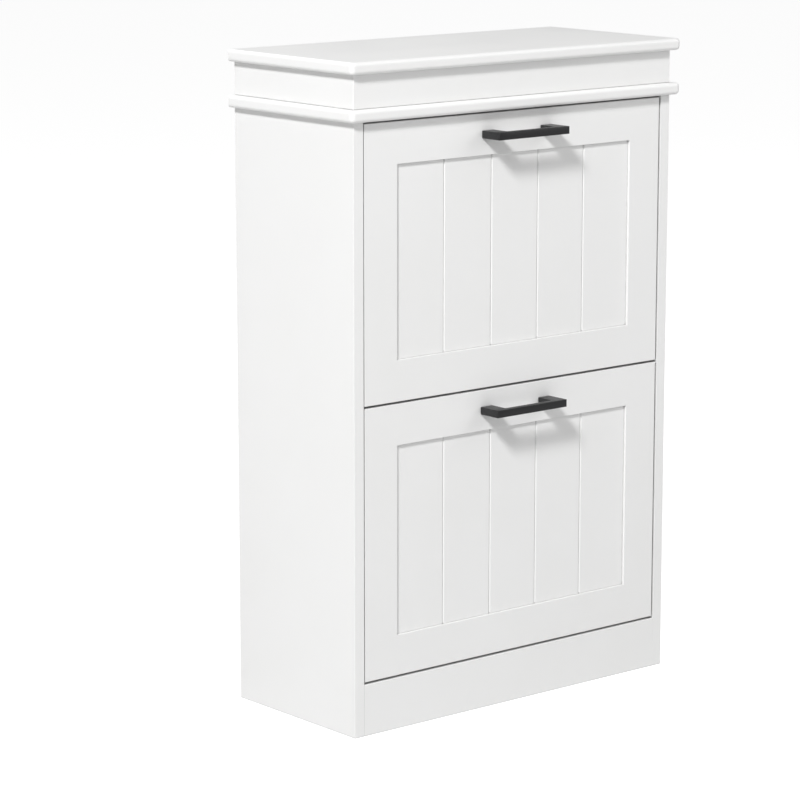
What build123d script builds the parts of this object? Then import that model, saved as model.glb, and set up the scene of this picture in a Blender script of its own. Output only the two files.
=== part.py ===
from build123d import *
from math import cos, radians, sin, sqrt
import os

os.makedirs("parts", exist_ok=True)

# A free-standing shoe cabinet with two tip-out flaps, in millimetres.
# X runs from left to right, Y from front to back and Z is up. The origin is on the floor,
# at the middle of the width and of the depth from the handles' fronts to the back panel.

# Overall size, with the depth measured without the handles
inch = 25.4
overall_width = 21.25 * inch
overall_depth = 9.5 * inch
overall_height = 32.5 * inch

# Boards of the carcass
board_thickness = 15
back_panel_thickness = 3
back_panel_clearance = 0.5
back_panel_foot = 12
rebate_width = 8
moulding_overhang = 10
moulding_edge_radius = 4.5
moulding_corner_radius = 6
arris_radius = 0.6
inner_arris_radius = 0.4
plinth_height = 65
rail_height = 60
rail_middle_height = 410

# Flaps
flap_gap = 3
flap_side_gap = 2
flap_setback = 1
flap_height = 340
frame_width = 51
recess_depth = 3.5
recess_corner_radius = 1
recess_arris_radius = 0.3
plank_count = 5
groove_width = 3
groove_depth = 1.5

# Handles
handle_projection = 32.5
handle_height = 9.5
handle_post_width = 19
handle_bar_depth = 8
handle_screw_spacing = 96
handle_inner_radius = 1.5
handle_edge_chamfer = 0.5
handle_screw_diameter = 4
handle_screw_grip = 8
handle_screw_clearance = 0.5
handle_screw_head = (8, 2.6)

# Pivots, brackets and stops of a flap, with heights measured from the flap's bottom edge
pivot_height = 20
opening_angle = 45
pin_diameter = 5
pin_in_flap = 20
pin_in_bush = 8
pin_play = 0.05
bush_diameter = 8
bush_length = 10
bush_bore_depth = 9
bracket_plate = 3
bracket_side_gap = 1
bracket_bottom = 6
bracket_depth = 188
bracket_sweep_radius = 235
bracket_corner_radius = 4
flange_width = 12
flange_thickness = 3
bracket_screw_heights = (50, 130, 230)
bracket_screw_setback = 4.5
bracket_screw_diameter = 3.5
bracket_screw_grip = 10
bracket_screw_head = (6.5, 2.2)
stop_radius = 180
stop_angle = 57
stop_slot_width = 7
peg_diameter = 6
peg_in_side = 10
peg_end_gap = 0.6

# Shoe boards inside a flap, with heights measured from the flap's bottom edge
shoe_board = 6
shoe_base_height = 12
shoe_divider_top = 190
shoe_back_top = 150
front_bin_depth = 75
shelf_depth = 181
rib_thickness = 2
rib_reach = 8

# Fasteners of the carcass
dowel_diameter = 6
dowel_in_face = 10
dowel_in_edge = 20
cam_diameter = 15
cam_depth = 12.5
cam_setback = 24
cam_slot = (9, 1.5)
cam_slot_depth = 2
bolt_thread = (5, 10)
bolt_shank_diameter = 6
bolt_neck = (4, 4)
bolt_head = (6.5, 3)
bolt_bore_diameter = 7
bolt_pocket = (8, 12)
nail_head = (4, 0.6)
nail_diameter = 1.6
nail_length = 15
screw_recess_width = 0.9
screw_recess_depth = 1.3

# Depths of the joints behind the front plane, heights above the floor, and places along X
board_cam_depths = (45, 190)
board_dowel_depths = (80, 155)
side_top_cam_depths = (50, 180)
side_top_dowel_depths = (90, 140)
plinth_cam_height = 32
plinth_dowel_height = 15
rail_dowel_offset = 18
frieze_low_dowels = (-150, 150)
frieze_high_dowels = (-110, 110)
return_low_dowel_depths = (60, 170)
return_high_dowel_depths = (90, 140)
nail_first_height = 45
nail_spacing = 110
nails_per_side = 7
nail_places = (-160, 0, 160)

# Worked out from the above
carcass_width = overall_width - 2 * moulding_overhang
carcass_depth = overall_depth - moulding_overhang
carcass_side_x = carcass_width / 2
inner_x = carcass_side_x - board_thickness
front_y = (handle_projection - flap_setback - carcass_depth) / 2
back_y = front_y + carcass_depth
panel_y = back_y - back_panel_thickness
rail_front_y = panel_y - board_thickness
rail_mid_y = panel_y - board_thickness / 2
plinth_back_y = front_y + board_thickness
plinth_mid_y = front_y + board_thickness / 2
flap_front_y = front_y + flap_setback
flap_back_y = flap_front_y + board_thickness
flap_mid_y = flap_front_y + board_thickness / 2
bottom_board_z = plinth_height - board_thickness
lower_flap_z = plinth_height + flap_gap
upper_flap_z = lower_flap_z + flap_height + flap_gap
cornice_z = upper_flap_z + flap_height + flap_gap
frieze_z = cornice_z + board_thickness
top_board_z = overall_height - board_thickness
flap_edge_x = inner_x - flap_side_gap
plate_outer_x = flap_edge_x - bracket_side_gap
plate_inner_x = plate_outer_x - bracket_plate
flap_bottoms = {"lower": lower_flap_z, "upper": upper_flap_z}


def board(x, y, z):
    """A square-cut board that fills the ranges x, y and z, each given as (low, high)."""
    with BuildPart() as piece:
        with BuildSketch(Plane.XY.offset(z[0])):
            with Locations(((x[0] + x[1]) / 2, (y[0] + y[1]) / 2)):
                Rectangle(x[1] - x[0], y[1] - y[0])
        extrude(amount=z[1] - z[0])
    return piece.part


def turned(plane, steps):
    """A turned piece: cylinders end to end along the plane's normal, each (diameter, length)."""
    with BuildPart() as piece:
        reach = 0
        for diameter, length in steps:
            with BuildSketch(plane.offset(reach)):
                Circle(diameter / 2)
            extrude(amount=length)
            reach += length
    return piece.part


def cross_screw(tip, shank, head):
    """A screw from its tip's plane, with a cross recess in its head. Sizes are (diameter, length)."""
    with BuildPart() as piece:
        add(turned(tip, [shank, head]))
        head_top = tip.offset(shank[1] + head[1])
        with BuildSketch(head_top):
            Rectangle(head[0] / 2, screw_recess_width)
            Rectangle(screw_recess_width, head[0] / 2)
        extrude(amount=-screw_recess_depth, mode=Mode.SUBTRACT)
    return piece.part


def around_pivot(flap_z, radius, degrees):
    """The (y, z) point at a radius and an angle above the rearward direction from a flap's pivot."""
    y = flap_mid_y + radius * cos(radians(degrees))
    z = flap_z + pivot_height + radius * sin(radians(degrees))
    return y, z


# Joints of the carcass. A joint's plane lies on the face that meets the other board's edge,
# and its normal points into that face.
bolt_planes = []
cam_planes = []
dowel_planes = []


def add_cam_joint(origin, into, opening):
    """Places a cam bolt, and its cam in the board face that looks along the opening direction."""
    bolt_planes.append(Plane(origin=origin, z_dir=into))
    cam_centre = Vector(*origin) - Vector(*into) * cam_setback
    cam_start = cam_centre + Vector(*opening) * board_thickness / 2
    cam_planes.append(Plane(origin=cam_start, z_dir=-Vector(*opening)))


def add_dowel(origin, into):
    """Places a dowel that crosses a joint."""
    dowel_planes.append(Plane(origin=origin, z_dir=into).offset(-dowel_in_edge))


for side in (-1, 1):
    outward = (side, 0, 0)
    face_x = side * inner_x
    side_mid_x = side * (carcass_side_x - board_thickness / 2)
    bottom_mid_z = plinth_height - board_thickness / 2
    for depth in board_cam_depths:
        add_cam_joint((face_x, front_y + depth, bottom_mid_z), outward, (0, 0, -1))
    for depth in board_dowel_depths:
        add_dowel((face_x, front_y + depth, bottom_mid_z), outward)
    add_cam_joint((face_x, plinth_mid_y, plinth_cam_height), outward, (0, 1, 0))
    add_dowel((face_x, plinth_mid_y, plinth_dowel_height), outward)
    add_cam_joint((face_x, rail_mid_y, plinth_cam_height), outward, (0, -1, 0))
    add_dowel((face_x, rail_mid_y, plinth_dowel_height), outward)
    add_cam_joint((face_x, rail_mid_y, rail_middle_height), outward, (0, -1, 0))
    for offset_z in (-rail_dowel_offset, rail_dowel_offset):
        add_dowel((face_x, rail_mid_y, rail_middle_height + offset_z), outward)
    for depth in side_top_cam_depths:
        add_cam_joint((side_mid_x, front_y + depth, cornice_z), (0, 0, 1), (-side, 0, 0))
    for depth in side_top_dowel_depths:
        add_dowel((side_mid_x, front_y + depth, cornice_z), (0, 0, 1))
    for depth in return_low_dowel_depths:
        add_dowel((side_mid_x, front_y + depth, frieze_z), (0, 0, -1))
    for depth in return_high_dowel_depths:
        add_dowel((side_mid_x, front_y + depth, top_board_z), (0, 0, 1))

for rail_y in (plinth_mid_y, back_y - board_thickness / 2):
    for x in frieze_low_dowels:
        add_dowel((x, rail_y, frieze_z), (0, 0, -1))
    for x in frieze_high_dowels:
        add_dowel((x, rail_y, top_board_z), (0, 0, 1))

# Nails hold the back panel in the sides' rebates, to the bottom board and to the middle rail
nail_points = []
for side in (-1, 1):
    for number in range(nails_per_side):
        nail_points.append(
            (side * (inner_x + rebate_width / 2), nail_first_height + number * nail_spacing)
        )
for x in nail_places:
    nail_points.append((x, plinth_height - board_thickness / 2))
    nail_points.append((x, rail_middle_height))
nail_planes = []
for x, z in nail_points:
    nail_planes.append(Plane(origin=(x, back_y - nail_length, z), z_dir=(0, 1, 0)))

# Bushes and stop pegs sit in bores in the inner faces of the side panels
bush_planes = []
peg_planes = []
for flap_z in flap_bottoms.values():
    peg_y, peg_z = around_pivot(flap_z, stop_radius, stop_angle)
    for side in (-1, 1):
        bush_origin = (side * inner_x, flap_mid_y, flap_z + pivot_height)
        bush_planes.append(Plane(origin=bush_origin, z_dir=(side, 0, 0)))
        peg_origin = (side * (plate_inner_x + peg_end_gap), peg_y, peg_z)
        peg_planes.append(Plane(origin=peg_origin, z_dir=(side, 0, 0)))
peg_length = inner_x + peg_in_side - plate_inner_x - peg_end_gap

# Fasteners of the carcass, each kind in one group

with BuildPart() as dowels:
    for plane in dowel_planes:
        add(turned(plane, [(dowel_diameter, dowel_in_edge + dowel_in_face)]))
dowels.part.label = "dowels"
export_step(dowels.part, "parts/dowels.step")

with BuildPart() as back_panel_nails:
    for plane in nail_planes:
        add(turned(plane, [(nail_diameter, nail_length - nail_head[1]), nail_head]))
back_panel_nails.part.label = "back_panel_nails"
export_step(back_panel_nails.part, "parts/back_panel_nails.step")

with BuildPart() as cam_bolts:
    head_start = -cam_setback - bolt_head[1] / 2
    shank_length = -head_start - bolt_head[1] - bolt_neck[1]
    for plane in bolt_planes:
        bolt_steps = [bolt_head, bolt_neck, (bolt_shank_diameter, shank_length), bolt_thread]
        add(turned(plane.offset(head_start), bolt_steps))
cam_bolts.part.label = "cam_bolts"
export_step(cam_bolts.part, "parts/cam_bolts.step")

with BuildPart() as cam_locks:
    for plane in cam_planes:
        add(turned(plane, [(cam_diameter, cam_depth)]))
    for plane in bolt_planes:
        add(turned(plane.offset(-cam_setback - bolt_head[1]), [bolt_pocket]), mode=Mode.SUBTRACT)
    for plane in cam_planes:
        with BuildSketch(plane):
            Rectangle(*cam_slot)
        extrude(amount=cam_slot_depth, mode=Mode.SUBTRACT)
cam_locks.part.label = "cam_locks"
export_step(cam_locks.part, "parts/cam_locks.step")

with BuildPart() as pivot_bushes:
    for plane in bush_planes:
        add(turned(plane, [(bush_diameter, bush_length)]))
        bore_diameter = pin_diameter + 2 * pin_play
        add(turned(plane, [(bore_diameter, bush_bore_depth)]), mode=Mode.SUBTRACT)
pivot_bushes.part.label = "pivot_bushes"
export_step(pivot_bushes.part, "parts/pivot_bushes.step")

with BuildPart() as stop_pegs:
    for plane in peg_planes:
        add(turned(plane, [(peg_diameter, peg_length)]))
stop_pegs.part.label = "stop_pegs"
export_step(stop_pegs.part, "parts/stop_pegs.step")

# Everything that is bored or driven into the boards, to be cut from each of them
with BuildPart() as bores:
    add(dowels.part)
    add(back_panel_nails.part)
    add(stop_pegs.part)
    for plane in bolt_planes:
        add(turned(plane.offset(-cam_setback), [(bolt_bore_diameter, cam_setback), bolt_thread]))
    for plane in cam_planes:
        add(turned(plane, [(cam_diameter, cam_depth)]))
    for plane in bush_planes:
        add(turned(plane, [(bush_diameter, bush_length)]))

# Boards of the carcass

# Each side panel has a rebate for the back panel along the inner edge of its back
for side_name, side in (("left", -1), ("right", 1)):
    side_x = sorted((side * inner_x, side * carcass_side_x))
    rebate_x = sorted((side * inner_x, side * (inner_x + rebate_width)))
    with BuildPart() as side_panel:
        add(board(side_x, (front_y, back_y), (0, cornice_z)))
        front_edges = side_panel.faces().sort_by(Axis.Y)[0].edges().filter_by(Axis.Z)
        outer_edge, inner_edge = sorted(front_edges, key=lambda edge: -side * edge.center().X)
        fillet(outer_edge, arris_radius)
        fillet(inner_edge, inner_arris_radius)
        add(board(rebate_x, (panel_y, back_y), (0, cornice_z)), mode=Mode.SUBTRACT)
        add(bores.part, mode=Mode.SUBTRACT)
    side_panel.part.label = f"{side_name}_side_panel"
    export_step(side_panel.part, f"parts/{side_name}_side_panel.step")

with BuildPart() as plinth_front:
    add(board((-inner_x, inner_x), (front_y, plinth_back_y), (0, plinth_height)))
    fillet(plinth_front.faces().sort_by(Axis.Y)[0].edges().sort_by(Axis.Z)[-1], arris_radius)
    add(bores.part, mode=Mode.SUBTRACT)
plinth_front.part.label = "plinth_front"
export_step(plinth_front.part, "parts/plinth_front.step")

with BuildPart() as plinth_back:
    add(board((-inner_x, inner_x), (rail_front_y, panel_y), (0, bottom_board_z)))
    add(bores.part, mode=Mode.SUBTRACT)
plinth_back.part.label = "plinth_back"
export_step(plinth_back.part, "parts/plinth_back.step")

with BuildPart() as bottom_board:
    add(board((-inner_x, inner_x), (plinth_back_y, panel_y), (bottom_board_z, plinth_height)))
    add(bores.part, mode=Mode.SUBTRACT)
bottom_board.part.label = "bottom_board"
export_step(bottom_board.part, "parts/bottom_board.step")

with BuildPart() as middle_rail:
    rail_z = (rail_middle_height - rail_height / 2, rail_middle_height + rail_height / 2)
    add(board((-inner_x, inner_x), (rail_front_y, panel_y), rail_z))
    add(bores.part, mode=Mode.SUBTRACT)
middle_rail.part.label = "middle_rail"
export_step(middle_rail.part, "parts/middle_rail.step")

with BuildPart() as back_panel:
    back_panel_x = inner_x + rebate_width - back_panel_clearance
    add(board((-back_panel_x, back_panel_x), (panel_y, back_y), (back_panel_foot, cornice_z)))
    add(bores.part, mode=Mode.SUBTRACT)
back_panel.part.label = "back_panel"
export_step(back_panel.part, "parts/back_panel.step")

# Two moulded boards of one size, above and below the frieze, square only along the back
for moulding_name, moulding_z in (("cornice_board", cornice_z), ("top_board", top_board_z)):
    with BuildPart() as moulding:
        with BuildSketch(Plane.XY.offset(moulding_z)) as outline:
            with Locations((0, back_y - overall_depth / 2)):
                Rectangle(overall_width, overall_depth)
            fillet(outline.vertices().group_by(Axis.Y)[0], moulding_corner_radius)
        extrude(amount=board_thickness)
        rim = moulding.faces().filter_by(Axis.Z).edges()
        back_edges = rim.group_by(Axis.Y)[-1]
        fillet(rim - back_edges, moulding_edge_radius)
        add(bores.part, mode=Mode.SUBTRACT)
    moulding.part.label = moulding_name
    export_step(moulding.part, f"parts/{moulding_name}.step")

# The frieze's front board and its two returns meet in mitres at the front corners, whose
# sharp edges are taken off where the mitre comes out

with BuildPart() as frieze_front:
    with BuildSketch(Plane.XY.offset(frieze_z)):
        with BuildLine():
            Polyline(
                (-carcass_side_x + arris_radius, front_y),
                (carcass_side_x - arris_radius, front_y),
                (carcass_side_x - arris_radius / 2, front_y + arris_radius / 2),
                (inner_x, plinth_back_y),
                (-inner_x, plinth_back_y),
                (-carcass_side_x + arris_radius / 2, front_y + arris_radius / 2),
                close=True,
            )
        make_face()
    extrude(amount=top_board_z - frieze_z)
    fillet(frieze_front.faces().sort_by(Axis.Y)[0].edges().sort_by(Axis.Z)[0], arris_radius)
    add(bores.part, mode=Mode.SUBTRACT)
frieze_front.part.label = "frieze_front"
export_step(frieze_front.part, "parts/frieze_front.step")

for side_name, side in (("left", -1), ("right", 1)):
    with BuildPart() as frieze_return:
        with BuildSketch(Plane.XY.offset(frieze_z)):
            with BuildLine():
                Polyline(
                    (side * (carcass_side_x - arris_radius / 2), front_y + arris_radius / 2),
                    (side * carcass_side_x, front_y + arris_radius),
                    (side * carcass_side_x, back_y),
                    (side * inner_x, back_y),
                    (side * inner_x, plinth_back_y),
                    close=True,
                )
            make_face()
        extrude(amount=top_board_z - frieze_z)
        outer_face = frieze_return.faces().filter_by(Axis.X).sort_by(Axis.X, reverse=side < 0)[-1]
        fillet(outer_face.edges().sort_by(Axis.Z)[0], arris_radius)
        add(bores.part, mode=Mode.SUBTRACT)
    frieze_return.part.label = f"frieze_{side_name}"
    export_step(frieze_return.part, f"parts/frieze_{side_name}.step")

with BuildPart() as frieze_back:
    add(board((-inner_x, inner_x), (back_y - board_thickness, back_y), (frieze_z, top_board_z)))
    add(bores.part, mode=Mode.SUBTRACT)
frieze_back.part.label = "frieze_back"
export_step(frieze_back.part, "parts/frieze_back.step")


# Each flap is a routed board on two pivot pins, with a bracket at each side that carries
# the shoe boards and is stopped, closed and open, by a peg in an arc-shaped slot

for flap_name, flap_z in flap_bottoms.items():
    pivot_z = flap_z + pivot_height
    handle_z = flap_z + flap_height - frame_width / 2

    handle_screw_shank = (handle_screw_diameter, board_thickness + handle_screw_grip)
    handle_screw_tips = []
    for side in (-1, 1):
        tip = (side * handle_screw_spacing / 2, flap_front_y - handle_screw_grip, handle_z)
        handle_screw_tips.append(Plane(origin=tip, z_dir=(0, 1, 0)))
    with BuildPart() as handle_screws:
        for plane in handle_screw_tips:
            add(cross_screw(plane, handle_screw_shank, handle_screw_head))
    handle_screws.part.label = f"{flap_name}_handle_screws"
    export_step(handle_screws.part, f"parts/{flap_name}_handle_screws.step")

    bracket_screw_shank = (bracket_screw_diameter, bracket_screw_grip + flange_thickness)
    bracket_screw_x = plate_inner_x - bracket_screw_setback
    bracket_screw_tips = []
    for side in (-1, 1):
        for height in bracket_screw_heights:
            tip = (side * bracket_screw_x, flap_back_y - bracket_screw_grip, flap_z + height)
            bracket_screw_tips.append(Plane(origin=tip, z_dir=(0, 1, 0)))
    with BuildPart() as bracket_screws:
        for plane in bracket_screw_tips:
            add(cross_screw(plane, bracket_screw_shank, bracket_screw_head))
    bracket_screws.part.label = f"{flap_name}_bracket_screws"
    export_step(bracket_screws.part, f"parts/{flap_name}_bracket_screws.step")

    pin_length = pin_in_flap + flap_side_gap + pin_in_bush
    pin_planes = {}
    for side_name, side in (("left", -1), ("right", 1)):
        pin_start = (side * (flap_edge_x - pin_in_flap), flap_mid_y, pivot_z)
        pin_planes[side_name] = Plane(origin=pin_start, z_dir=(side, 0, 0))
        with BuildPart() as pivot_pin:
            add(turned(pin_planes[side_name], [(pin_diameter, pin_length)]))
        pivot_pin.part.label = f"{flap_name}_{side_name}_pivot_pin"
        export_step(pivot_pin.part, f"parts/{flap_name}_{side_name}_pivot_pin.step")

    # The flap's panel, with a framed recess of planks divided by V-shaped grooves
    recess_width = 2 * (flap_edge_x - frame_width)
    plank_width = recess_width / plank_count
    flap_mid_z = flap_z + flap_height / 2
    recess_y = flap_front_y + recess_depth
    with BuildPart() as flap_panel:
        flap_z_range = (flap_z, flap_z + flap_height)
        add(board((-flap_edge_x, flap_edge_x), (flap_front_y, flap_back_y), flap_z_range))
        fillet(flap_panel.faces().sort_by(Axis.Y)[0].edges(), arris_radius)
        recess_plane = Plane(origin=(0, flap_front_y, flap_mid_z), x_dir=(1, 0, 0), z_dir=(0, -1, 0))
        with BuildSketch(recess_plane):
            RectangleRounded(recess_width, flap_height - 2 * frame_width, recess_corner_radius)
        extrude(amount=-recess_depth, mode=Mode.SUBTRACT)
        recess_rim = flap_panel.faces().sort_by(Axis.Y)[0].inner_wires()[0].edges()
        fillet(recess_rim, recess_arris_radius)
        with BuildSketch(Plane.XY.offset(flap_z + frame_width)):
            for number in range(1, plank_count):
                groove_x = number * plank_width - recess_width / 2
                with BuildLine():
                    Polyline(
                        (groove_x - groove_width / 2, recess_y),
                        (groove_x + groove_width / 2, recess_y),
                        (groove_x, recess_y + groove_depth),
                        close=True,
                    )
                make_face()
        extrude(amount=flap_height - 2 * frame_width, mode=Mode.SUBTRACT)
        screw_bore = (handle_screw_diameter + handle_screw_clearance, board_thickness + handle_screw_grip)
        for plane in handle_screw_tips:
            add(turned(plane, [screw_bore]), mode=Mode.SUBTRACT)
        for plane in pin_planes.values():
            add(turned(plane, [(pin_diameter, pin_length)]), mode=Mode.SUBTRACT)
        add(bracket_screws.part, mode=Mode.SUBTRACT)
    flap_panel.part.label = f"{flap_name}_flap_panel"
    export_step(flap_panel.part, f"parts/{flap_name}_flap_panel.step")

    handle_length = handle_screw_spacing + handle_post_width
    with BuildPart() as handle:
        with BuildSketch(Plane.XY.offset(handle_z - handle_height / 2)) as handle_plan:
            with Locations((0, flap_front_y - handle_projection / 2)):
                Rectangle(handle_length, handle_projection)
            finger_gap_depth = handle_projection - handle_bar_depth
            with Locations((0, flap_front_y - finger_gap_depth / 2)):
                Rectangle(
                    handle_length - 2 * handle_post_width, finger_gap_depth, mode=Mode.SUBTRACT
                )
            inner_corners = handle_plan.vertices().group_by(Axis.Y)[1]
            fillet(inner_corners, handle_inner_radius)
        extrude(amount=handle_height)
        flap_side = handle.faces().filter_by(Axis.Y).group_by(Axis.Y)[-1]
        chamfer(handle.edges() - flap_side.edges(), handle_edge_chamfer)
        for plane in handle_screw_tips:
            add(turned(plane, [handle_screw_shank]), mode=Mode.SUBTRACT)
    handle.part.label = f"{flap_name}_handle"
    export_step(handle.part, f"parts/{flap_name}_handle.step")

    # A bracket: a plate beside the flap's contents, a flange on the flap's back, and pairs
    # of ribs that hold the ends of the shoe boards
    bracket_back_y = flap_back_y + bracket_depth
    base_y = (flap_back_y + flange_thickness, flap_back_y + flange_thickness + shelf_depth)
    base_z = (flap_z + shoe_base_height, flap_z + shoe_base_height + shoe_board)
    divider_y = (base_y[0] + front_bin_depth, base_y[0] + front_bin_depth + shoe_board)
    shoe_back_y = (base_y[1] - shoe_board, base_y[1])
    divider_z = (base_z[1], flap_z + shoe_divider_top)
    shoe_back_z = (base_z[1], flap_z + shoe_back_top)
    rib_x = (-plate_inner_x, -plate_inner_x + rib_reach)
    with BuildPart() as left_bracket:
        with BuildSketch(Plane.YZ.offset(-plate_outer_x)) as plate_outline:
            sweep_rise_back = sqrt(bracket_sweep_radius**2 - (bracket_back_y - flap_mid_y) ** 2)
            sweep_rise_front = sqrt(bracket_sweep_radius**2 - (flap_back_y - flap_mid_y) ** 2)
            with BuildLine():
                low_back = (bracket_back_y, flap_z + bracket_bottom)
                high_back = (bracket_back_y, pivot_z + sweep_rise_back)
                high_front = (flap_back_y, pivot_z + sweep_rise_front)
                low_front = (flap_back_y, flap_z + bracket_bottom)
                Polyline(high_front, low_front, low_back, high_back)
                arc_middle = around_pivot(flap_z, bracket_sweep_radius, stop_angle)
                ThreePointArc(high_back, arc_middle, high_front)
            make_face()
            fillet(plate_outline.vertices().group_by(Axis.X)[-1], bracket_corner_radius)
            with BuildLine(mode=Mode.PRIVATE):
                slot_path = CenterArc(
                    (flap_mid_y, pivot_z), stop_radius, stop_angle - opening_angle, opening_angle
                )
            SlotArc(slot_path, stop_slot_width, mode=Mode.SUBTRACT)
        extrude(amount=bracket_plate)
        flange_x = (-plate_outer_x, -plate_outer_x + flange_width)
        flange_y = (flap_back_y, flap_back_y + flange_thickness)
        flange_z = (flap_z + bracket_bottom, pivot_z + sweep_rise_front)
        add(board(flange_x, flange_y, flange_z))
        rib_back_y = base_y[1] + rib_thickness
        add(board(rib_x, (base_y[0], rib_back_y), (base_z[0] - rib_thickness, base_z[0])))
        add(board(rib_x, (base_y[0], divider_y[0]), (base_z[1], base_z[1] + rib_thickness)))
        add(board(rib_x, (divider_y[1], shoe_back_y[0]), (base_z[1], base_z[1] + rib_thickness)))
        add(board(rib_x, (divider_y[0] - rib_thickness, divider_y[0]), divider_z))
        add(board(rib_x, (divider_y[1], divider_y[1] + rib_thickness), divider_z))
        add(board(rib_x, (shoe_back_y[0] - rib_thickness, shoe_back_y[0]), shoe_back_z))
        add(board(rib_x, (shoe_back_y[1], rib_back_y), (base_z[0], shoe_back_z[1])))
        add(bracket_screws.part, mode=Mode.SUBTRACT)
    left_bracket.part.label = f"{flap_name}_left_bracket"
    export_step(left_bracket.part, f"parts/{flap_name}_left_bracket.step")

    with BuildPart() as right_bracket:
        mirror(left_bracket.part, about=Plane.YZ)
    right_bracket.part.label = f"{flap_name}_right_bracket"
    export_step(right_bracket.part, f"parts/{flap_name}_right_bracket.step")

    shoe_board_x = (-plate_inner_x, plate_inner_x)
    with BuildPart() as shoe_base:
        add(board(shoe_board_x, base_y, base_z))
    shoe_base.part.label = f"{flap_name}_shoe_base"
    export_step(shoe_base.part, f"parts/{flap_name}_shoe_base.step")

    with BuildPart() as shoe_divider:
        add(board(shoe_board_x, divider_y, divider_z))
        fillet(shoe_divider.faces().sort_by(Axis.Z)[-1].edges().filter_by(Axis.X), arris_radius)
    shoe_divider.part.label = f"{flap_name}_shoe_divider"
    export_step(shoe_divider.part, f"parts/{flap_name}_shoe_divider.step")

    with BuildPart() as shoe_back:
        add(board(shoe_board_x, shoe_back_y, shoe_back_z))
        fillet(shoe_back.faces().sort_by(Axis.Z)[-1].edges().filter_by(Axis.X), arris_radius)
    shoe_back.part.label = f"{flap_name}_shoe_back"
    export_step(shoe_back.part, f"parts/{flap_name}_shoe_back.step")
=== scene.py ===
from math import cos, radians, sin, tau

import bmesh
import bpy
from bpy.props import FloatProperty, FloatVectorProperty, IntProperty, PointerProperty
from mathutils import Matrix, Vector


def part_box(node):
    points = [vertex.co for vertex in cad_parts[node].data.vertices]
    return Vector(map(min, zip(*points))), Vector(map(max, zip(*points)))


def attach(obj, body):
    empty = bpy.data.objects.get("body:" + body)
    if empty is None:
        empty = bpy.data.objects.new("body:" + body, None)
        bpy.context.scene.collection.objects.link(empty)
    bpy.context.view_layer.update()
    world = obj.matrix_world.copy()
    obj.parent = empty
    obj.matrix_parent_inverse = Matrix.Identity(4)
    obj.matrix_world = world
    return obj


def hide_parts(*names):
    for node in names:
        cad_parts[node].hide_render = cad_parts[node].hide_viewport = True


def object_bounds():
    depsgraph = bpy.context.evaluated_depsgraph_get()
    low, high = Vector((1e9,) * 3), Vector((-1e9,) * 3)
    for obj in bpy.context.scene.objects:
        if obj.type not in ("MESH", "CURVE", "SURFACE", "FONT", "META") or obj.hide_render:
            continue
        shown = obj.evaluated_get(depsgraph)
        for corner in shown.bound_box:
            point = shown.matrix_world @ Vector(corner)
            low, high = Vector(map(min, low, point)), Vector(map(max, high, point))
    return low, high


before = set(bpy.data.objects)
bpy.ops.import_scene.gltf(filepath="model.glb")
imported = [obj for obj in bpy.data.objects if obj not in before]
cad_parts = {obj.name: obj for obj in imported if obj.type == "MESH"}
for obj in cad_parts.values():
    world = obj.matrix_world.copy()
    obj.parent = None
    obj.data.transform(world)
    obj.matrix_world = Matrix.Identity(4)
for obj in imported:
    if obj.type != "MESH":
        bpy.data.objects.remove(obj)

bl_info = {
    "name": "Shoe Cabinet Finisher",
    "version": (1, 0, 0),
    "blender": (4, 5, 0),
    "location": "3D View > Sidebar > Cabinet",
    "description": "Finishes a tip-out shoe cabinet: paint, boards, plastic, handles, steel and a studio",
    "category": "Object",
}

CAD_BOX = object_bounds()
FLAPS = ("lower", "upper")
SIDES = ("left", "right")

PAINTED_BOARDS = (
    "left_side_panel",
    "right_side_panel",
    "top_board",
    "cornice_board",
    "frieze_front",
    "frieze_left",
    "frieze_right",
    "frieze_back",
    "bottom_board",
    "plinth_front",
    "plinth_back",
    "middle_rail",
)

# Widths of the finishes' finer features, in metres
PAINT_PATCH = 0.14
PAINT_MIST = 0.0006
BARE_FIBRE = 0.0009
FOIL_CLOUD = 0.09
HARDBOARD_FIBRE = 0.0022
HARDBOARD_STAIN = 0.11
PLASTIC_FLOW = 0.035
WORN_EDGE = 0.0007
STEEL_LINE = 0.0002
STEEL_BLOOM = 0.006
BEECH_GRAIN = 0.0006
BEECH_FLECK = 0.0004
FLOOR_CLOUD = 0.4

# Heights of the finishes' relief, in metres
PEARL_HEIGHT = 0.00002
PRESS_MARK_HEIGHT = 0.00004
HARDBOARD_FIBRE_HEIGHT = 0.00005
PLASTIC_FLOW_HEIGHT = 0.0001
PLASTIC_SKIN_HEIGHT = 0.000012
COAT_GRAIN_HEIGHT = 0.00004
COAT_SPECK_HEIGHT = 0.00001
STEEL_LINE_HEIGHT = 0.000006
BEECH_GRAIN_HEIGHT = 0.00003

# The side of the back panel that faces the shoes
HARDBOARD_INSIDE = (0.80, 0.80, 0.79)

# A face that stands on the floor is this low and its normal points this far down
ON_FLOOR_HEIGHT = 0.0003
ON_FLOOR_NORMAL = -0.9

# Rays for the edge wear and for the painted shade in seams
SHADE_SAMPLES = 4

# Edges sharper than the first angle are rounded, and the second is the limit of smooth shading
SHARP_EDGE = radians(40)
SMOOTH_LIMIT = radians(50)
INNER_CORNER_STEPS = 5
SAME_PLACE = 1e-6


# Sizes, colours and lights that a user would change


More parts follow.
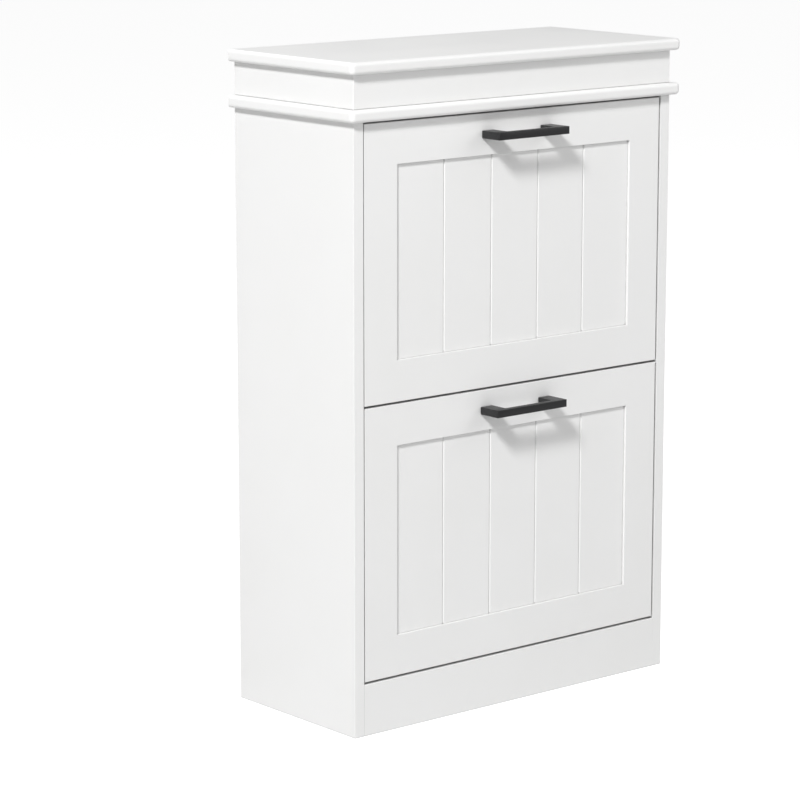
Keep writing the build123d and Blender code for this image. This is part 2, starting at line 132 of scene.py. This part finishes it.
class PaintSettings(bpy.types.PropertyGroup):
    colour: FloatVectorProperty(
        name="Paint",
        description="Colour of the satin paint",
        subtype="COLOR",
        default=(0.85, 0.85, 0.847),
    )
    tint: FloatVectorProperty(
        name="Paint tint",
        description="Colour that the paint drifts to in broad, faint patches",
        subtype="COLOR",
        default=(0.835, 0.834, 0.828),
    )
    roughness: FloatProperty(
        name="Paint roughness",
        description="Middle roughness of the paint",
        default=0.42,
        subtype="FACTOR",
    )
    peel_grain: FloatProperty(
        name="Peel grain",
        description="Width of one ripple of the sprayed paint",
        default=0.0028,
        unit="LENGTH",
    )
    peel_height: FloatProperty(
        name="Peel height", description="Height of the ripples", default=0.00002, unit="LENGTH"
    )
    # Painted shade: the dark colour that the paint turns to deep in seams and gaps, standing for the shade
    # that falls there, and how far it reaches out of a seam
    seam_shade: FloatVectorProperty(
        name="Seam shade",
        description="Colour of the paint deep in seams and gaps",
        subtype="COLOR",
        default=(0.22, 0.22, 0.215),
    )
    seam_shade_reach: FloatProperty(
        name="Dust reach",
        description="How far the dust comes out of a seam",
        default=0.004,
        unit="LENGTH",
    )
    fibreboard: FloatVectorProperty(
        name="Fibreboard",
        description="Colour of the bare fibreboard on the edges that stand on the floor",
        subtype="COLOR",
        default=(0.42, 0.29, 0.17),
    )


class InsideSettings(bpy.types.PropertyGroup):
    foil: FloatVectorProperty(
        name="Foil",
        description="Colour of the shoe boards' foil",
        subtype="COLOR",
        default=(0.84, 0.84, 0.83),
    )
    foil_grain: FloatProperty(
        name="Foil grain",
        description="Width of one pearl of the foil",
        default=0.0011,
        unit="LENGTH",
    )
    hardboard: FloatVectorProperty(
        name="Hardboard",
        description="Colour of the back panel's bare side",
        subtype="COLOR",
        default=(0.30, 0.185, 0.10),
    )
    mesh_pitch: FloatProperty(
        name="Mesh pitch",
        description="Spacing of the press's mesh marks in the hardboard",
        default=0.0018,
        unit="LENGTH",
    )
    plastic: FloatVectorProperty(
        name="Plastic",
        description="Colour of the moulded brackets",
        subtype="COLOR",
        default=(0.80, 0.80, 0.79),
    )
    plastic_grain: FloatProperty(
        name="Plastic grain",
        description="Width of one grain of the mould's skin",
        default=0.0005,
        unit="LENGTH",
    )
    beech: FloatVectorProperty(
        name="Beech",
        description="Colour of the dowels",
        subtype="COLOR",
        default=(0.62, 0.42, 0.25),
    )


class HandleSettings(bpy.types.PropertyGroup):
    post_width: FloatProperty(
        name="Post width", description="Width of a handle's post", default=0.019, unit="LENGTH"
    )
    bar_depth: FloatProperty(
        name="Bar depth",
        description="Depth of the grip bar",
        default=0.008,
        unit="LENGTH",
    )
    inner_radius: FloatProperty(
        name="Inner radius",
        description="Radius where a post meets the bar",
        default=0.0015,
        unit="LENGTH",
    )
    edge_round: FloatProperty(
        name="Edge round", description="Radius of the coated edges", default=0.0006, unit="LENGTH"
    )
    edge_steps: IntProperty(
        name="Edge steps",
        description="Facets across a rounded edge",
        default=3,
    )
    coat: FloatVectorProperty(
        name="Powder coat",
        description="Colour of the coat",
        subtype="COLOR",
        default=(0.014, 0.014, 0.015),
    )
    worn_coat: FloatVectorProperty(
        name="Worn coat",
        description="Colour of the coat where it is thin along an edge",
        subtype="COLOR",
        default=(0.055, 0.055, 0.056),
    )
    roughness: FloatProperty(
        name="Coat roughness",
        description="Middle roughness of the coat",
        default=0.40,
        subtype="FACTOR",
    )
    gloss: FloatProperty(
        name="Coat gloss",
        description="How strongly the coat mirrors the room",
        default=0.4,
        subtype="FACTOR",
    )
    grain: FloatProperty(
        name="Coat grain",
        description="Width of one grain of the powder coat",
        default=0.0007,
        unit="LENGTH",
    )


class SteelSettings(bpy.types.PropertyGroup):
    zinc: FloatVectorProperty(
        name="Zinc",
        description="Colour of plated screws, cams and nails",
        subtype="COLOR",
        default=(0.70, 0.70, 0.68),
    )
    steel: FloatVectorProperty(
        name="Steel",
        description="Colour of pins and pegs",
        subtype="COLOR",
        default=(0.62, 0.62, 0.61),
    )


class StudioSettings(bpy.types.PropertyGroup):
    aim: FloatVectorProperty(
        name="Aim",
        description="Point that the camera looks at",
        subtype="TRANSLATION",
        unit="LENGTH",
        default=(-0.105, 0.0, 0.387),
    )
    distance: FloatProperty(
        name="Distance", description="From the camera to its aim", default=4.007, unit="LENGTH"
    )
    azimuth: FloatProperty(
        name="Azimuth",
        description="Turn of the camera round the cabinet, to the left of its front",
        default=radians(39.86),
        subtype="ANGLE",
    )
    elevation: FloatProperty(
        name="Elevation",
        description="Height of the camera above its aim, as an angle",
        default=radians(11.26),
        subtype="ANGLE",
    )
    lens: FloatProperty(name="Lens", description="Focal length", default=144.1, unit="CAMERA")
    key_azimuth: FloatProperty(
        name="Key azimuth",
        description="Turn of the key light to the left of the cabinet's front",
        default=radians(57),
        subtype="ANGLE",
    )
    key_elevation: FloatProperty(
        name="Key elevation",
        description="Height of the key light as an angle",
        default=radians(39.2),
        subtype="ANGLE",
    )
    key_distance: FloatProperty(
        name="Key distance",
        description="From the key light to the cabinet",
        default=5.0,
        unit="LENGTH",
    )
    key_size: FloatProperty(
        name="Key size", description="Side of the key light's softbox", default=0.7, unit="LENGTH"
    )
    key_power: FloatProperty(
        name="Key power",
        description="Power of the key light",
        default=212,
        unit="POWER",
    )
    fill_azimuth: FloatProperty(
        name="Fill azimuth",
        description="Turn of the fill light to the left of the cabinet's front",
        default=radians(-48),
        subtype="ANGLE",
    )
    fill_elevation: FloatProperty(
        name="Fill elevation",
        description="Height of the fill light as an angle",
        default=radians(27),
        subtype="ANGLE",
    )
    fill_distance: FloatProperty(
        name="Fill distance",
        description="From the fill light to the cabinet",
        default=2.7,
        unit="LENGTH",
    )
    fill_size: FloatProperty(
        name="Fill size", description="Side of the fill light's softbox", default=1.6, unit="LENGTH"
    )
    fill_power: FloatProperty(
        name="Fill power",
        description="Power of the fill light",
        default=16,
        unit="POWER",
    )
    back_azimuth: FloatProperty(
        name="Back azimuth",
        description="Turn of the back light to the left of the cabinet's front",
        default=radians(178),
        subtype="ANGLE",
    )
    back_elevation: FloatProperty(
        name="Back elevation",
        description="Height of the back light as an angle",
        default=radians(36),
        subtype="ANGLE",
    )
    back_distance: FloatProperty(
        name="Back distance",
        description="From the back light to the cabinet",
        default=3.0,
        unit="LENGTH",
    )
    back_size: FloatProperty(
        name="Back size", description="Side of the back light's softbox", default=1.6, unit="LENGTH"
    )
    back_power: FloatProperty(
        name="Back power",
        description="Power of the back light",
        default=28,
        unit="POWER",
    )
    room_light: FloatProperty(
        name="Room light",
        description="Strength of the even white room",
        default=0.30,
    )
    floor_size: FloatProperty(
        name="Floor size",
        description="Side of the floor",
        default=60,
        unit="LENGTH",
    )
    floor_colour: FloatVectorProperty(
        name="Floor", description="Colour of the floor", subtype="COLOR", default=(0.66, 0.66, 0.66)
    )
    floor_glow: FloatProperty(
        name="Floor glow",
        description="How much whiter the floor looks to the camera than the light that it throws back",
        default=0.75,
    )


# Shared ways of making materials


def new_material(name, colour, roughness, metallic=0.0):
    """A material with its colour and roughness set, its shader, and its coordinates socket."""
    material = bpy.data.materials.new(name)
    material.use_nodes = True
    tree = material.node_tree
    shader = next(node for node in tree.nodes if node.type == "BSDF_PRINCIPLED")
    shader.inputs["Base Color"].default_value = (*colour, 1)
    shader.inputs["Roughness"].default_value = roughness
    shader.inputs["Metallic"].default_value = metallic
    coordinates = tree.nodes.new("ShaderNodeTexCoord").outputs["Object"]
    return material, tree, shader, coordinates


def noise(tree, coordinates, grain, detail=2.0, stretch=(1, 1, 1)):
    """Noise whose features are about one grain wide, longer along the axes that are stretched."""
    mapping = tree.nodes.new("ShaderNodeMapping")
    mapping.inputs["Scale"].default_value = [1 / (grain * times) for times in stretch]
    tree.links.new(coordinates, mapping.inputs["Vector"])
    texture = tree.nodes.new("ShaderNodeTexNoise")
    texture.inputs["Scale"].default_value = 1
    texture.inputs["Detail"].default_value = detail
    tree.links.new(mapping.outputs["Vector"], texture.inputs["Vector"])
    return texture.outputs["Fac"]


def remap(tree, value, low, high, start=0.3, end=0.7):
    """Takes start..end of a value to low..high."""
    ranged = tree.nodes.new("ShaderNodeMapRange")
    ranged.inputs["From Min"].default_value = start
    ranged.inputs["From Max"].default_value = end
    ranged.inputs["To Min"].default_value = low
    ranged.inputs["To Max"].default_value = high
    tree.links.new(value, ranged.inputs["Value"])
    return ranged.outputs["Result"]


def calculate(tree, operation, first, second):
    """One sum on two sockets or numbers."""
    sum_node = tree.nodes.new("ShaderNodeMath")
    sum_node.operation = operation
    for place, value in enumerate((first, second)):
        if isinstance(value, (int, float)):
            sum_node.inputs[place].default_value = value
        else:
            tree.links.new(value, sum_node.inputs[place])
    return sum_node.outputs["Value"]


def blend_colours(tree, factor, first, second):
    """A colour between two colours or colour sockets."""
    mix = tree.nodes.new("ShaderNodeMix")
    mix.data_type = "RGBA"
    sockets = {socket.identifier: socket for socket in mix.inputs}
    tree.links.new(factor, sockets["Factor_Float"])
    for name, value in (("A_Color", first), ("B_Color", second)):
        if isinstance(value, bpy.types.NodeSocket):
            tree.links.new(value, sockets[name])
        else:
            sockets[name].default_value = (*value, 1)
    return next(socket for socket in mix.outputs if socket.identifier == "Result_Color")


def add_relief(tree, shader, layers):
    """Bumps on the surface, one for each (height socket, height in metres), finest last."""
    normal = None
    for height, depth in layers:
        bump = tree.nodes.new("ShaderNodeBump")
        bump.inputs["Distance"].default_value = depth
        tree.links.new(height, bump.inputs["Height"])
        if normal is not None:
            tree.links.new(normal, bump.inputs["Normal"])
        normal = bump.outputs["Normal"]
    tree.links.new(normal, shader.inputs["Normal"])


def split_axes(tree, coordinates):
    """The X, Y and Z sockets of a vector."""
    split = tree.nodes.new("ShaderNodeSeparateXYZ")
    tree.links.new(coordinates, split.inputs["Vector"])
    return split.outputs


def edge_wear(tree, radius):
    """A socket that is 1 on edges sharper than the radius and 0 on flat faces."""
    rounded = tree.nodes.new("ShaderNodeBevel")
    rounded.samples = SHADE_SAMPLES
    rounded.inputs["Radius"].default_value = radius
    flat = tree.nodes.new("ShaderNodeNewGeometry").outputs["Normal"]
    likeness = tree.nodes.new("ShaderNodeVectorMath")
    likeness.operation = "DOT_PRODUCT"
    tree.links.new(rounded.outputs["Normal"], likeness.inputs[0])
    tree.links.new(flat, likeness.inputs[1])
    return remap(tree, likeness.outputs["Value"], 1, 0, start=0.82, end=0.99)


def seam_shade_mask(tree, reach):
    """A painted-shade mask from ambient occlusion: 1 deep in seams and inner corners narrower than the
    reach, where shade falls, and 0 in the open.
    """
    openness = tree.nodes.new("ShaderNodeAmbientOcclusion")
    openness.samples = SHADE_SAMPLES
    openness.inputs["Distance"].default_value = reach
    return remap(tree, openness.outputs["AO"], 1, 0, start=0.15, end=0.6)


def finish_nodes(names, material):
    """Gives carried-over pieces one material."""
    for name in names:
        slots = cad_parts[name].data.materials
        slots.clear()
        slots.append(material)


# Materials


def painted_fibreboard(settings):
    """Satin paint sprayed on fibreboard, with bare fibre on the edges that touch the floor and painted
    shade, a dark colour, deep in seams, gaps and inner corners.
    """
    material, tree, shader, place = new_material("Satin paint", settings.colour, settings.roughness)
    patches = noise(tree, place, PAINT_PATCH)
    peel = noise(tree, place, settings.peel_grain, detail=1.0)
    mist = noise(tree, place, PAINT_MIST, detail=1.0)
    painted = blend_colours(tree, remap(tree, patches, 0, 1), settings.colour, settings.tint)
    fibres = noise(tree, place, BARE_FIBRE, detail=4.0, stretch=(3, 3, 1))
    dark_fibre = [part * 0.6 for part in settings.fibreboard]
    bare = blend_colours(tree, remap(tree, fibres, 0, 1), settings.fibreboard, dark_fibre)
    near_floor = calculate(tree, "LESS_THAN", split_axes(tree, place)["Z"], ON_FLOOR_HEIGHT)
    facing = tree.nodes.new("ShaderNodeNewGeometry").outputs["Normal"]
    facing_down = calculate(tree, "LESS_THAN", split_axes(tree, facing)["Z"], ON_FLOOR_NORMAL)
    on_floor = calculate(tree, "MULTIPLY", near_floor, facing_down)
    # Painted shade: the paint darkens deep in seams, gaps and inner corners, where shade falls
    seam_shaded = blend_colours(tree, seam_shade_mask(tree, settings.seam_shade_reach), painted, settings.seam_shade)
    colour = blend_colours(tree, on_floor, seam_shaded, bare)
    tree.links.new(colour, shader.inputs["Base Color"])
    paint_roughness = remap(tree, patches, settings.roughness - 0.05, settings.roughness + 0.05)
    roughness = calculate(tree, "MAXIMUM", paint_roughness, calculate(tree, "MULTIPLY", on_floor, 0.9))
    tree.links.new(roughness, shader.inputs["Roughness"])
    add_relief(tree, shader, [(peel, settings.peel_height), (mist, settings.peel_height / 6)])
    return material


def foil_faced_board(settings):
    """White foil with a pearl grain, on thin board."""
    material, tree, shader, place = new_material("White foil", settings.foil, 0.45)
    pearls = noise(tree, place, settings.foil_grain, detail=1.5)
    clouds = noise(tree, place, FOIL_CLOUD)
    shade = [part * 0.97 for part in settings.foil]
    tree.links.new(
        blend_colours(tree, remap(tree, clouds, 0, 1), settings.foil, shade), shader.inputs["Base Color"]
    )
    tree.links.new(remap(tree, pearls, 0.38, 0.52), shader.inputs["Roughness"])
    add_relief(tree, shader, [(pearls, PEARL_HEIGHT)])
    return material


def hardboard(settings, middle_y):
    """Hardboard that is white towards the inside and bare brown, with mesh marks, behind."""
    material, tree, shader, place = new_material("Hardboard", settings.hardboard, 0.7)
    axes = split_axes(tree, place)
    behind = calculate(tree, "GREATER_THAN", axes["Y"], middle_y)
    fibres = noise(tree, place, HARDBOARD_FIBRE, detail=6.0, stretch=(1.6, 1, 1))
    stains = noise(tree, place, HARDBOARD_STAIN, detail=3.0)
    dark = [part * 0.62 for part in settings.hardboard]
    light = [min(part * 1.35, 1) for part in settings.hardboard]
    fibre_colour = blend_colours(tree, remap(tree, fibres, 0, 1), dark, light)
    brown = blend_colours(tree, remap(tree, stains, 0, 0.5), fibre_colour, settings.hardboard)
    tree.links.new(blend_colours(tree, behind, HARDBOARD_INSIDE, brown), shader.inputs["Base Color"])
    tree.links.new(remap(tree, behind, 0.4, 0.78, start=0, end=1), shader.inputs["Roughness"])
    turns = tau / settings.mesh_pitch
    across = calculate(tree, "SINE", calculate(tree, "MULTIPLY", axes["X"], turns), 0)
    upward = calculate(tree, "SINE", calculate(tree, "MULTIPLY", axes["Z"], turns), 0)
    mesh = calculate(tree, "MULTIPLY", calculate(tree, "ADD", across, upward), behind)
    layers = [(mesh, PRESS_MARK_HEIGHT), (fibres, HARDBOARD_FIBRE_HEIGHT)]
    add_relief(tree, shader, layers)
    return material


def moulded_plastic(settings, name, colour):
    """Plastic with the fine skin of a sparked mould."""
    material, tree, shader, place = new_material(name, colour, 0.5)
    skin = noise(tree, place, settings.plastic_grain, detail=1.0)
    flow = noise(tree, place, PLASTIC_FLOW, detail=2.0, stretch=(1, 2.5, 1))
    shade = [part * 0.965 for part in colour]
    tree.links.new(blend_colours(tree, remap(tree, flow, 0, 1), colour, shade), shader.inputs["Base Color"])
    tree.links.new(remap(tree, flow, 0.44, 0.56), shader.inputs["Roughness"])
    add_relief(tree, shader, [(flow, PLASTIC_FLOW_HEIGHT), (skin, PLASTIC_SKIN_HEIGHT)])
    return material


def powder_coat(settings):
    """Fine black powder coat, a little thinner and smoother along the edges."""
    material, tree, shader, place = new_material("Black powder coat", settings.coat, settings.roughness)
    shader.inputs["Specular IOR Level"].default_value = settings.gloss
    grain = noise(tree, place, settings.grain, detail=2.0)
    specks = noise(tree, place, settings.grain / 3, detail=1.0)
    worn = calculate(tree, "MULTIPLY", edge_wear(tree, WORN_EDGE), remap(tree, specks, 0.3, 1))
    tree.links.new(blend_colours(tree, worn, settings.coat, settings.worn_coat), shader.inputs["Base Color"])
    tree.links.new(
        remap(tree, grain, settings.roughness - 0.05, settings.roughness + 0.07), shader.inputs["Roughness"]
    )
    add_relief(tree, shader, [(grain, COAT_GRAIN_HEIGHT), (specks, COAT_SPECK_HEIGHT)])
    return material


def plated_steel(name, colour, roughness, marks):
    """Metal with fine marks that are stretched along the directions given."""
    material, tree, shader, place = new_material(name, colour, roughness, metallic=1.0)
    lines = noise(tree, place, STEEL_LINE, detail=3.0, stretch=marks)
    bloom = noise(tree, place, STEEL_BLOOM, detail=3.0)
    shade = [part * 0.82 for part in colour]
    tree.links.new(blend_colours(tree, remap(tree, bloom, 0, 1), colour, shade), shader.inputs["Base Color"])
    tree.links.new(remap(tree, lines, roughness - 0.08, roughness + 0.1), shader.inputs["Roughness"])
    add_relief(tree, shader, [(lines, STEEL_LINE_HEIGHT)])
    return material


def beech(settings):
    """Pale beech with short dark flecks."""
    material, tree, shader, place = new_material("Beech", settings.beech, 0.6)
    grain = noise(tree, place, BEECH_GRAIN, detail=4.0, stretch=(8, 1, 8))
    flecks = noise(tree, place, BEECH_FLECK, detail=1.0, stretch=(6, 1, 6))
    dark = [part * 0.6 for part in settings.beech]
    ground = blend_colours(tree, remap(tree, grain, 0, 0.6), settings.beech, dark)
    fleck_mask = remap(tree, flecks, 0, 0.8, start=0.62, end=0.7)
    tree.links.new(blend_colours(tree, fleck_mask, ground, dark), shader.inputs["Base Color"])
    tree.links.new(remap(tree, grain, 0.52, 0.7), shader.inputs["Roughness"])
    add_relief(tree, shader, [(grain, BEECH_GRAIN_HEIGHT)])
    return material


# Shared ways of modelling new pieces


def deselect_all():
    """Leaves nothing selected, so that an operator acts on the new piece alone."""
    bpy.ops.object.select_all(action="DESELECT")
    bpy.context.view_layer.objects.active = None


def select_parts(piece, faces=None, edges=None):
    """In edit mode, selects only the faces or edges for which the test holds."""
    bpy.ops.mesh.select_mode(type="FACE" if faces else "EDGE")
    bpy.ops.mesh.select_all(action="DESELECT")
    shape = bmesh.from_edit_mesh(piece.data)
    for part in shape.faces if faces else shape.edges:
        wanted = (faces or edges)(part)
        part.select_set(wanted)
    bmesh.update_edit_mesh(piece.data)


def start_block(name, low, high):
    """A block between two corners, in edit mode."""
    deselect_all()
    bpy.ops.mesh.primitive_cube_add(size=1, location=(low + high) / 2)
    piece = bpy.context.object
    piece.name = name
    piece.data.name = name
    piece.scale = high - low
    bpy.ops.object.transform_apply(location=True, rotation=False, scale=True)
    bpy.ops.object.mode_set(mode="EDIT")
    return piece


def round_edges(piece, width, steps):
    """Rounds every sharp edge of a finished piece and smooths its faces."""
    bevel = piece.modifiers.new("Rounded edges", "BEVEL")
    bevel.width = width
    bevel.segments = steps
    bevel.limit_method = "ANGLE"
    bevel.angle_limit = SHARP_EDGE
    bpy.ops.object.modifier_apply(modifier=bevel.name)
    bpy.ops.object.shade_smooth_by_angle(angle=SMOOTH_LIMIT)


def copy_piece(piece, name, offset):
    """A copy with its own mesh, moved within the mesh so that its object stays at the origin."""
    deselect_all()
    piece.select_set(True)
    bpy.context.view_layer.objects.active = piece
    bpy.ops.object.duplicate(linked=False)
    copy = bpy.context.object
    copy.name = name
    copy.data.name = name
    bpy.ops.transform.translate(value=offset)
    bpy.ops.object.transform_apply(location=True, rotation=False, scale=False)
    return copy


# Operators


class CABINET_OT_paint_boards(bpy.types.Operator):
    """Paints the carcass boards and the flap panels"""

    bl_idname = "cabinet.paint_boards"
    bl_label = "Paint the boards"

    def execute(self, context):
        paint = painted_fibreboard(context.scene.cabinet_paint)
        finish_nodes(PAINTED_BOARDS, paint)
        finish_nodes([f"{flap}_flap_panel" for flap in FLAPS], paint)
        return {"FINISHED"}


class CABINET_OT_back_panel(bpy.types.Operator):
    """Finishes the hardboard back panel, white inside and brown behind"""

    bl_idname = "cabinet.back_panel"
    bl_label = "Finish the back panel"

    def execute(self, context):
        low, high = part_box("back_panel")
        finish_nodes(["back_panel"], hardboard(context.scene.cabinet_inside, (low.y + high.y) / 2))
        return {"FINISHED"}


class CABINET_OT_shoe_boards(bpy.types.Operator):
    """Faces the boards that carry the shoes with foil"""

    bl_idname = "cabinet.shoe_boards"
    bl_label = "Face the shoe boards"

    def execute(self, context):
        foil = foil_faced_board(context.scene.cabinet_inside)
        boards = ("shoe_base", "shoe_divider", "shoe_back")
        finish_nodes([f"{flap}_{board}" for flap in FLAPS for board in boards], foil)
        return {"FINISHED"}


class CABINET_OT_plastic_parts(bpy.types.Operator):
    """Finishes the moulded brackets and the pivot bushes"""

    bl_idname = "cabinet.plastic_parts"
    bl_label = "Finish the plastic parts"

    def execute(self, context):
        settings = context.scene.cabinet_inside
        bracket_plastic = moulded_plastic(settings, "Bracket plastic", settings.plastic)
        finish_nodes([f"{flap}_{side}_bracket" for flap in FLAPS for side in SIDES], bracket_plastic)
        bush_colour = [part * 0.94 for part in settings.plastic]
        finish_nodes(["pivot_bushes"], moulded_plastic(settings, "Bush plastic", bush_colour))
        return {"FINISHED"}


class CABINET_OT_fasteners(bpy.types.Operator):
    """Finishes the screws, nails, cams, bolts, pins, pegs and dowels"""

    bl_idname = "cabinet.fasteners"
    bl_label = "Finish the fasteners"

    def execute(self, context):
        settings = context.scene.cabinet_steel
        zinc = plated_steel("Zinc plate", settings.zinc, 0.34, (2, 2, 2))
        screws = [f"{flap}_{part}_screws" for flap in FLAPS for part in ("handle", "bracket")]
        finish_nodes(screws + ["back_panel_nails", "cam_locks", "cam_bolts"], zinc)
        drawn = plated_steel("Drawn steel", settings.steel, 0.28, (30, 1, 1))
        pins = [f"{flap}_{side}_pivot_pin" for flap in FLAPS for side in SIDES]
        finish_nodes(pins + ["stop_pegs"], drawn)
        finish_nodes(["dowels"], beech(context.scene.cabinet_inside))
        return {"FINISHED"}


class CABINET_OT_handles(bpy.types.Operator):
    """Models one bar handle, copies it to the other flap and coats both"""

    bl_idname = "cabinet.handles"
    bl_label = "Make the handles"

    def execute(self, context):
        settings = context.scene.cabinet_handle
        low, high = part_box("lower_handle")
        centre_x = (low.x + high.x) / 2
        post_inner = (high.x - low.x) / 2 - settings.post_width
        bar_back = low.y + settings.bar_depth
        handle = start_block("lower_bar_handle", low, Vector((high.x, bar_back, high.z)))
        for side in (-1, 1):
            bpy.ops.mesh.select_all(action="SELECT")
            cut = (centre_x + side * post_inner, bar_back, low.z)
            bpy.ops.mesh.bisect(plane_co=cut, plane_no=(1, 0, 0))

        def is_post_foot(face):
            return face.normal.y > 0.9 and abs(face.calc_center_median().x - centre_x) > post_inner

        def is_inner_corner(edge):
            first, last = (vertex.co for vertex in edge.verts)
            upright = abs(first.x - last.x) + abs(first.y - last.y) < SAME_PLACE
            at_bar = abs(first.y - bar_back) < SAME_PLACE
            return upright and at_bar and abs(abs(first.x - centre_x) - post_inner) < SAME_PLACE

        select_parts(handle, faces=is_post_foot)
        bpy.ops.mesh.extrude_region_move(TRANSFORM_OT_translate={"value": (0, high.y - bar_back, 0)})
        select_parts(handle, edges=is_inner_corner)
        bpy.ops.mesh.bevel(offset=settings.inner_radius, segments=INNER_CORNER_STEPS, affect="EDGES")
        bpy.ops.object.mode_set(mode="OBJECT")
        round_edges(handle, settings.edge_round, settings.edge_steps)
        handle.data.materials.append(powder_coat(settings))

        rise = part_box("upper_handle")[0].z - low.z
        handles = {"lower": handle, "upper": copy_piece(handle, "upper_bar_handle", (0, 0, rise))}
        for flap, piece in handles.items():
            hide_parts(f"{flap}_handle")
            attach(piece, f"{flap}_flap")
        return {"FINISHED"}


class CABINET_OT_stage(bpy.types.Operator):
    """Sets the floor, the lights and the camera"""

    bl_idname = "cabinet.stage"
    bl_label = "Set the stage"

    def execute(self, context):
        settings = context.scene.cabinet_studio
        self.lay_floor(settings)
        self.light_room(context, settings)
        for role in ("key", "fill", "back"):
            self.place_softbox(context, settings, role)
        self.place_camera(context, settings)
        return {"FINISHED"}

    def lay_floor(self, settings):
        """A wide plain floor that looks white to the camera."""
        deselect_all()
        bpy.ops.mesh.primitive_plane_add(size=settings.floor_size)
        floor = bpy.context.object
        floor.name = "studio_floor"
        material, tree, shader, place = new_material("Studio floor", settings.floor_colour, 0.8)
        cloud = remap(tree, noise(tree, place, FLOOR_CLOUD), 0.78, 0.86)
        tree.links.new(cloud, shader.inputs["Roughness"])
        shader.inputs["Emission Color"].default_value = (1, 1, 1, 1)
        seen = tree.nodes.new("ShaderNodeLightPath").outputs["Is Camera Ray"]
        glow = calculate(tree, "MULTIPLY", seen, settings.floor_glow)
        tree.links.new(glow, shader.inputs["Emission Strength"])
        floor.data.materials.append(material)

    def light_room(self, context, settings):
        """An even room light, which looks white to the camera."""
        world = bpy.data.worlds.new("Studio room")
        world.use_nodes = True
        background = next(node for node in world.node_tree.nodes if node.type == "BACKGROUND")
        background.inputs["Color"].default_value = (1, 1, 1, 1)
        seen = world.node_tree.nodes.new("ShaderNodeLightPath").outputs["Is Camera Ray"]
        strength = calculate(world.node_tree, "MAXIMUM", seen, settings.room_light)
        world.node_tree.links.new(strength, background.inputs["Strength"])
        context.scene.world = world
        context.scene.view_settings.view_transform = "Standard"

    def place_softbox(self, context, settings, role):
        """One square softbox, aimed at the middle of the cabinet."""
        light = bpy.data.lights.new(f"{role} softbox", "AREA")
        light.energy = getattr(settings, f"{role}_power")
        light.size = getattr(settings, f"{role}_size")
        softbox = bpy.data.objects.new(f"{role} softbox", light)
        context.scene.collection.objects.link(softbox)
        middle = (CAD_BOX[0] + CAD_BOX[1]) / 2
        distance = getattr(settings, f"{role}_distance")
        azimuth = getattr(settings, f"{role}_azimuth")
        elevation = getattr(settings, f"{role}_elevation")
        self.look_from(softbox, middle, distance, azimuth, elevation)

    def place_camera(self, context, settings):
        """The camera, to the front left and a little above."""
        lens = bpy.data.cameras.new("Camera")
        lens.lens = settings.lens
        lens.clip_end = settings.floor_size
        camera = bpy.data.objects.new("Camera", lens)
        context.scene.collection.objects.link(camera)
        self.look_from(
            camera, Vector(settings.aim), settings.distance, settings.azimuth, settings.elevation
        )
        context.scene.camera = camera

    def look_from(self, thing, target, distance, azimuth, elevation):
        """Puts a light or a camera at a distance to the front left of a target, facing it."""
        backward = Vector(
            (-sin(azimuth) * cos(elevation), -cos(azimuth) * cos(elevation), sin(elevation))
        )
        thing.location = target + backward * distance
        thing.rotation_euler = backward.to_track_quat("Z", "Y").to_euler()


class CABINET_PT_sidebar(bpy.types.Panel):
    bl_label = "Shoe cabinet"
    bl_idname = "CABINET_PT_sidebar"
    bl_space_type = "VIEW_3D"
    bl_region_type = "UI"
    bl_category = "Cabinet"

    def draw(self, context):
        for settings in SETTINGS:
            group = getattr(context.scene, settings)
            box = self.layout.box()
            for name in group.__annotations__:
                box.prop(group, name)
        for operator in OPERATORS:
            self.layout.operator(operator.bl_idname)


SETTINGS = {
    "cabinet_paint": PaintSettings,
    "cabinet_inside": InsideSettings,
    "cabinet_handle": HandleSettings,
    "cabinet_steel": SteelSettings,
    "cabinet_studio": StudioSettings,
}
OPERATORS = (
    CABINET_OT_paint_boards,
    CABINET_OT_back_panel,
    CABINET_OT_shoe_boards,
    CABINET_OT_plastic_parts,
    CABINET_OT_fasteners,
    CABINET_OT_handles,
    CABINET_OT_stage,
)


def register():
    for name, group in SETTINGS.items():
        bpy.utils.register_class(group)
        setattr(bpy.types.Scene, name, PointerProperty(type=group))
    for operator in OPERATORS:
        bpy.utils.register_class(operator)
    bpy.utils.register_class(CABINET_PT_sidebar)


def unregister():
    bpy.utils.unregister_class(CABINET_PT_sidebar)
    for operator in reversed(OPERATORS):
        bpy.utils.unregister_class(operator)
    for name, group in reversed(SETTINGS.items()):
        delattr(bpy.types.Scene, name)
        bpy.utils.unregister_class(group)


def main():
    register()
    for operator in OPERATORS:
        group, action = operator.bl_idname.split(".")
        getattr(getattr(bpy.ops, group), action)()


if __name__ == "__main__":
    main()
